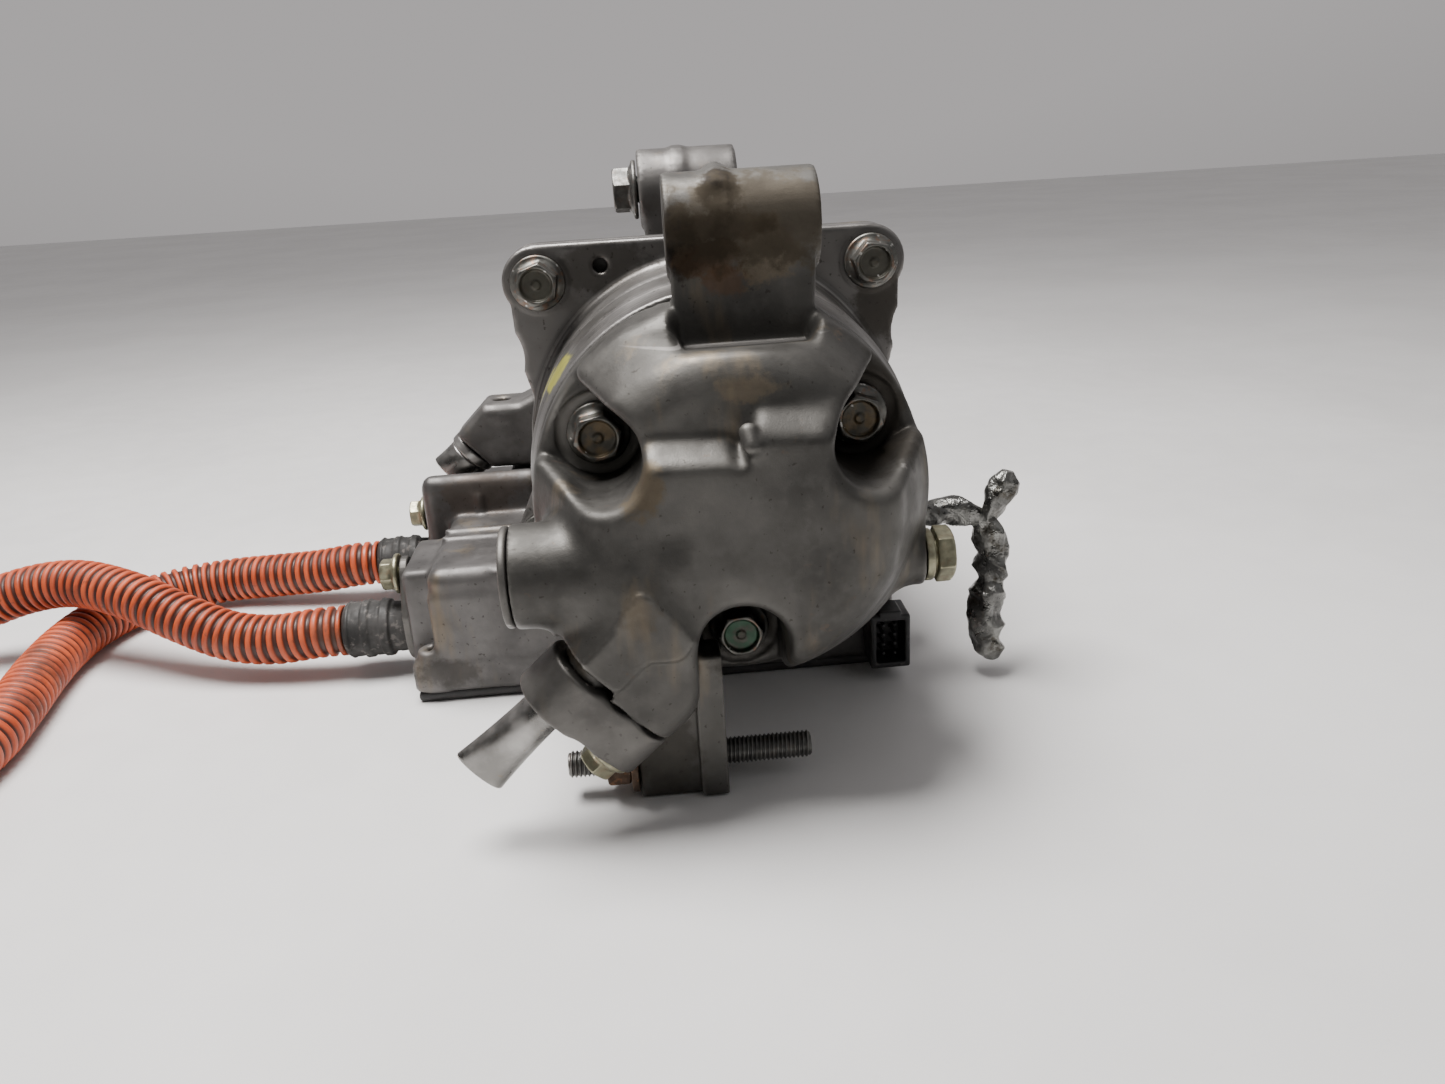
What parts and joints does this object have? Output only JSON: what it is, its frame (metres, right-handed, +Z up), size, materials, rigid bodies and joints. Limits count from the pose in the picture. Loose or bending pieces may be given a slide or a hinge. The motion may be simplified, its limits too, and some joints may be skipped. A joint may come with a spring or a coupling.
{
  "type": "scroll compressor",
  "caption": "Electric scroll compressor: cast housings with mounting bosses, eared flange, side-mounted inverter case, pipe stubs and corrugated high-voltage leads.",
  "frame": {"origin": "on the surface that the compressor rests on, under the middle of its box, leads left out", "axes": "+Y along the shaft from the discharge end to the motor end, +Z up, +X towards the relief valve's side"},
  "size_m": [0.4782, 0.2585, 0.176],
  "materials": {
    "cast_aluminium": "bead-blasted die casting, stained and dusty",
    "machined_aluminium": "turned, dulled by oxide",
    "steel": "plated steel, dull",
    "zinc_steel": "yellow-green zinc plate",
    "rusty_steel": "rusted",
    "bare_pipe": "bare drawn tube",
    "dark_cover": "dark sealed plate",
    "laminations": "varnished electrical steel",
    "winding": "enamelled copper, varnished",
    "boot_rubber": "dusty rubber and tape",
    "black_plastic": "moulded",
    "orange_conduit": "corrugated conduit, dirt in its bands",
    "foil": "crumpled foil wrap",
    "board": "coated circuit board",
    "gasket": "coated gasket"
  },
  "bodies": {
    "housing": {"discharge_housing": "cast_aluminium", "discharge_gasket": "gasket", "scroll_housing": "machined_aluminium", "motor_housing": "cast_aluminium", "inverter_case": "cast_aluminium", "inverter_cover": "dark_cover", "fixed_scroll": "machined_aluminium", "main_frame": "cast_aluminium", "main_bearing_outer_race": "steel", "rear_bearing_outer_race": "steel", "stator_core": "laminations", "front_winding": "winding", "rear_winding": "winding", "valve_stop": "steel", "oil_separator_tube": "steel", "separator_plug": "machined_aluminium", "relief_valve": "zinc_steel", "left_pocket_bolt": "steel", "right_pocket_bolt": "steel", "lower_pocket_bolt": "steel", "upper_left_flange_bolt": "steel", "upper_right_flange_bolt": "steel", "lower_left_flange_bolt": "steel", "lower_right_flange_bolt": "steel", "discharge_fitting": "cast_aluminium", "discharge_pipe": "bare_pipe", "discharge_fitting_bolt": "zinc_steel", "suction_fitting": "bare_pipe", "suction_pipe": "bare_pipe", "rear_mount_bolt": "steel", "lower_mount_stud": "steel", "lower_mount_washer": "steel", "lower_mount_nut": "rusty_steel", "control_board": "board", "smoothing_capacitor": "black_plastic", "hermetic_terminal": "steel", "signal_connector": "black_plastic", "front_gland_plate": "cast_aluminium", "rear_gland_plate": "cast_aluminium", "front_gland_bolt": "zinc_steel", "rear_gland_bolt": "zinc_steel", "front_lead_boot": "boot_rubber", "rear_lead_boot": "boot_rubber", "front_conduit": "orange_conduit", "rear_conduit": "orange_conduit", "front_lead_connector": "orange_conduit", "rear_lead_connector": "orange_conduit", "signal_lead": "foil"},
    "shaft": {"crankshaft": "steel", "eccentric_bush": "steel", "main_bearing_inner_race": "steel", "rear_bearing_inner_race": "steel", "rotor_core": "laminations", "balance_weight": "steel"},
    "orbiter": {"orbiting_scroll": "machined_aluminium", "scroll_bearing": "steel", "anti_rotation_pin_1": "steel", "anti_rotation_pin_2": "steel", "anti_rotation_pin_3": "steel"},
    "reed": {"discharge_reed": "steel"}
  },
  "joints": [
    {"name": "shaft_spin", "type": "hinge", "parent": "housing", "child": "shaft", "pos_m": [0.0278, -0.0746, 0.084], "axis": [0, 1, 0], "continuous": true},
    {"name": "orbit_turn", "type": "hinge", "parent": "shaft", "child": "orbiter", "pos_m": [0.0308, -0.0746, 0.084], "axis": [0, 1, 0], "continuous": true},
    {"name": "reed_lift", "type": "hinge", "parent": "housing", "child": "reed", "pos_m": [0.0278, -0.0554, 0.061], "axis": [1, 0, 0], "range_deg": [0, 2.5], "stiffness_Nm_per_rad": 0.05}
  ],
  "couplings": [
    {"joint": "orbit_turn", "follows": "shaft_spin", "ratio": -1}
  ]
}
